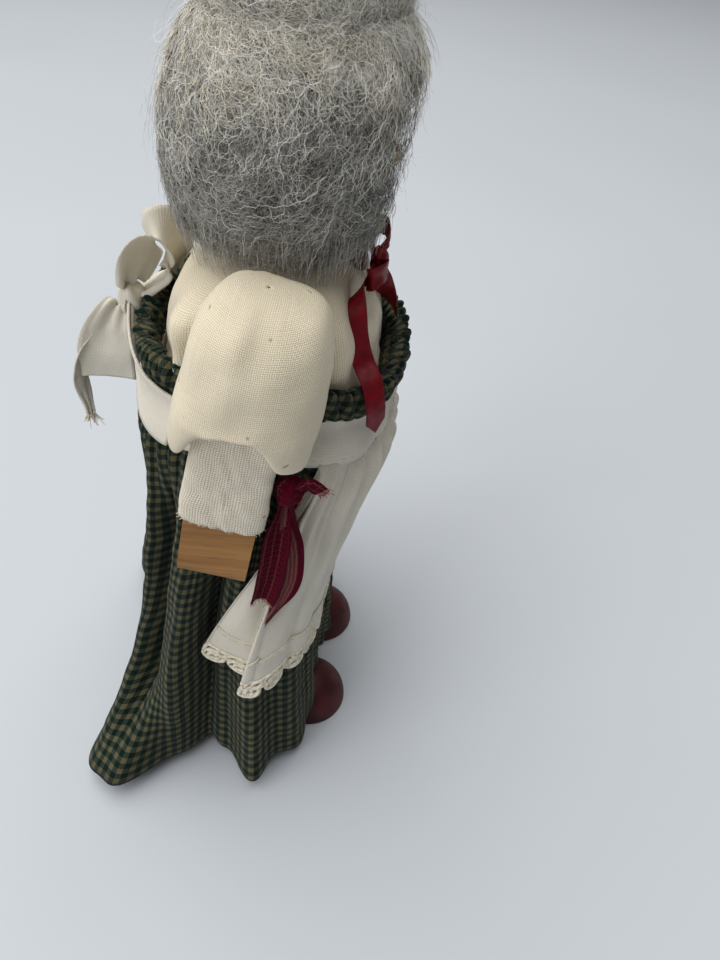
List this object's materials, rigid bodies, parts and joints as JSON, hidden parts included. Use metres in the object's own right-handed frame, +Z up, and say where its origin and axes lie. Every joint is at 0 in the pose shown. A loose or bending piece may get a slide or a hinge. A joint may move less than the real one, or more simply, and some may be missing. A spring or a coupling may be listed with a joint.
{
  "type": "wooden doll",
  "caption": "Standing jointed wooden folk doll in cloth clothes: wool wig with a bun, puffed-sleeve blouse, full check skirt, lace-edged apron tied behind, and ribbon bows.",
  "frame": {"origin": "on the floor under the middle of the doll's box, at the height of the soles", "axes": "+Z up, the doll faces -Y and its right hand is at -X"},
  "size_m": [0.1254, 0.1072, 0.2568],
  "materials": {
    "bare_wood": "sanded and oiled light hardwood",
    "shoe_paint": "wood under worn dark red satin paint",
    "steel": "plain round-head screw and washer",
    "wool": "curly grey and cream wool roving",
    "muslin": "unbleached plain-weave cotton with brown flecks",
    "check_cloth": "small green and tan woven check, matt",
    "elastic": "flat white elastic",
    "apron_linen": "off-white plain-weave cotton, matt",
    "lace": "cotton eyelet lace with a scalloped edge",
    "satin": "burgundy satin ribbon",
    "homespun": "burgundy homespun strip with cream threads, raw edges"
  },
  "bodies": {
    "figure": {"torso": "bare_wood", "neck_post": "bare_wood", "right_leg": "bare_wood", "left_leg": "bare_wood", "right_shoe": "shoe_paint", "left_shoe": "shoe_paint", "right_shoulder_screw": "steel", "left_shoulder_screw": "steel", "right_shoulder_washer": "steel", "left_shoulder_washer": "steel", "bodice": "muslin", "skirt": "check_cloth", "waist_elastic": "elastic", "apron_panel": "apron_linen", "apron_waistband": "apron_linen", "apron_tie_right": "apron_linen", "apron_tie_left": "apron_linen", "apron_bow_knot": "apron_linen", "apron_bow_loop": "apron_linen", "apron_bow_tail_long": "apron_linen", "apron_bow_tail_short": "apron_linen", "apron_lace": "lace", "neck_ribbon": "satin", "neck_bow_knot": "satin", "neck_bow_loop_right": "satin", "neck_bow_loop_left": "satin", "neck_bow_tail_right": "satin", "neck_bow_tail_left": "satin"},
    "head": {"head": "bare_wood", "wig": "wool", "hair_bun": "wool"},
    "right_arm": {"right_arm": "bare_wood", "right_sleeve": "muslin", "right_cuff": "muslin", "wrist_bow_knot": "homespun", "wrist_bow_stub": "homespun", "wrist_bow_tail": "homespun", "wrist_bow_loop": "homespun"},
    "left_arm": {"left_arm": "bare_wood", "left_sleeve": "muslin", "left_cuff": "muslin"}
  },
  "joints": [
    {"name": "head_turn", "type": "hinge", "parent": "figure", "child": "head", "pos_m": [0.00024, -0.0182, 0.1946], "axis": [0, 0, 1], "range_deg": [-60, 60]},
    {"name": "right_shoulder_swing", "type": "hinge", "parent": "figure", "child": "right_arm", "pos_m": [-0.02936, -0.0157, 0.181], "axis": [-1, 0, 0], "range_deg": [-25, 100]},
    {"name": "left_shoulder_swing", "type": "hinge", "parent": "figure", "child": "left_arm", "pos_m": [0.02984, -0.0157, 0.181], "axis": [-1, 0, 0], "range_deg": [-25, 100]}
  ]
}
